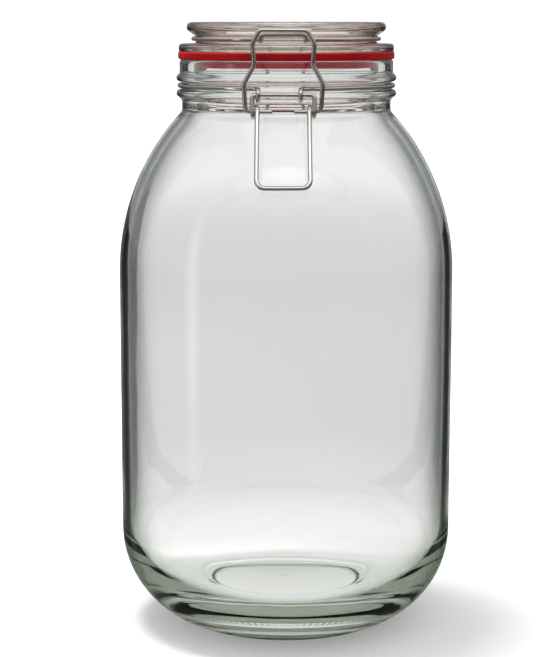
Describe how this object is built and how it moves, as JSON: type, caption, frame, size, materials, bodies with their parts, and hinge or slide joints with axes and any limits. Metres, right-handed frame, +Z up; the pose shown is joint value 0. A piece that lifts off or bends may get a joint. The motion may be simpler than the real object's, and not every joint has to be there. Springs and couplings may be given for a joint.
{
  "type": "lidded glass canister",
  "caption": "Tall round clear-glass storage jar with a hinged glass lid, red sealing ring and wire lever clasp at the front.",
  "frame": {"origin": "middle of the flat ring that the jar stands on", "axes": "+Z up the jar's axis, -Y towards the clasp at the front, +X to the right seen from the front"},
  "size_m": [0.15, 0.15, 0.271],
  "materials": {
    "clear_glass": "polished, faintly green at the edges",
    "red_rubber": "smooth satin",
    "steel_wire": "bright drawn wire"
  },
  "bodies": {
    "jar": {"glass_jar": "clear_glass", "neck_band": "steel_wire"},
    "lid": {"glass_lid": "clear_glass", "sealing_ring": "red_rubber", "lid_band": "steel_wire"},
    "lever": {"clasp_lever": "steel_wire"},
    "link": {"clasp_link": "steel_wire"}
  },
  "joints": [
    {"name": "lid_hinge", "type": "hinge", "parent": "jar", "child": "lid", "pos_m": [0, 0.055, 0.2637], "axis": [-1, 0, 0], "range_deg": [0, 105]},
    {"name": "lever_pivot", "type": "hinge", "parent": "jar", "child": "lever", "pos_m": [-0.0016, -0.0522, 0.241], "axis": [-1, 0, 0], "range_deg": [0, 85]},
    {"name": "link_pivot", "type": "hinge", "parent": "lever", "child": "link", "pos_m": [-0.0016, -0.0514, 0.234], "axis": [-1, 0, 0], "range_deg": [-141, 0]}
  ],
  "couplings": [
    {"joint": "link_pivot", "follows": "lever_pivot", "ratio": -1.65}
  ]
}
